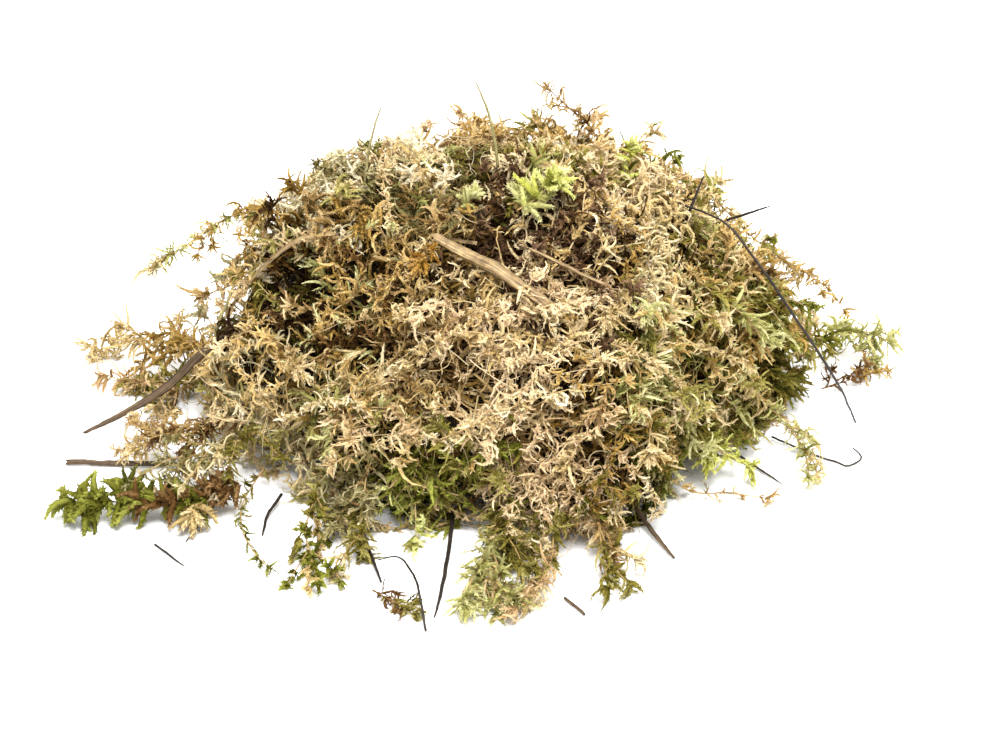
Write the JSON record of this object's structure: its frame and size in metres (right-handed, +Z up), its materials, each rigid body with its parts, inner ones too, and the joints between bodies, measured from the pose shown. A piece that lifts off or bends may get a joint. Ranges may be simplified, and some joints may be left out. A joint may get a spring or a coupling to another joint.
{
  "type": "dried moss clump",
  "caption": "Loose flat-bottomed heap of dried sphagnum moss with shoots, grass straws and dark needles trailing out of it, for setting on a surface.",
  "frame": {"origin": "middle of the mound's flat underside, on the surface that it rests on", "axes": "+X to the heap's right as seen from its front, +Y to its back, +Z up; the dark twig comes down on its right"},
  "size_m": [0.2405, 0.1875, 0.1041],
  "materials": {
    "moss_mixed": "dry matt moss, tan and cream with olive and brown, fine-grained",
    "moss_tan": "dry matt moss, pinkish tan to golden",
    "moss_cream": "dry matt moss, pale cream with a little green",
    "moss_green": "matt moss that kept its green, olive to bright",
    "moss_brown": "dry matt moss, dead and brown",
    "straw_tan": "dry grass stem, tan with fine lengthwise grain, slight sheen",
    "twig_dark": "thin dark twig or needle, near black, slight sheen"
  },
  "bodies": {
    "root": {"moss_mound": "moss_mixed", "green_head": "moss_green", "yellow_head": "moss_cream", "golden_head": "moss_tan", "pale_shoot_rim": "moss_cream", "cream_head": "moss_cream", "cream_head_low": "moss_cream", "pale_green_shoot": "moss_green", "tan_head_left": "moss_tan", "green_shoot_left": "moss_green", "tan_shoot_left": "moss_tan", "sage_shoot_left": "moss_tan", "pale_shoot_upper_left": "moss_cream", "left_fringe": "moss_tan", "left_fringe_low": "moss_tan", "brown_shoot_top": "moss_brown", "green_sprig_top": "moss_green", "arching_shoot_right": "moss_brown", "green_shoot_right": "moss_green", "brown_curl_right": "moss_brown", "pale_shoot_right": "moss_cream", "green_shoot_front_right": "moss_green", "front_right_shoot": "moss_tan", "green_shoot_front": "moss_green", "tan_shoot_front": "moss_tan", "leafy_shoot_front_left": "moss_green", "sage_shoot_front_left": "moss_tan", "trailing_shoot_left": "moss_brown", "creeping_shoot_front": "moss_brown", "bare_shoot_right": "moss_brown", "back_shoot_left": "moss_tan", "back_shoot_right": "moss_cream", "flat_straw": "straw_tan", "thin_stalk": "straw_tan", "upper_left_straw": "straw_tan", "left_straw": "straw_tan", "long_dark_twig": "twig_dark", "dark_needle_upper_right": "twig_dark", "brown_twig_upright": "twig_dark", "brown_blade": "straw_tan", "floor_straw": "straw_tan", "top_stalk": "straw_tan", "top_left_stalk": "straw_tan", "black_needle_front": "twig_dark", "arched_stalk": "twig_dark", "dark_stalk_front_left": "twig_dark", "dark_rootlet": "twig_dark", "needle_right": "twig_dark", "stick_right": "straw_tan", "short_stick_front": "straw_tan", "needle_left": "twig_dark", "needle_far_left": "twig_dark", "needle_left_upright": "twig_dark"}
  },
  "joints": []
}
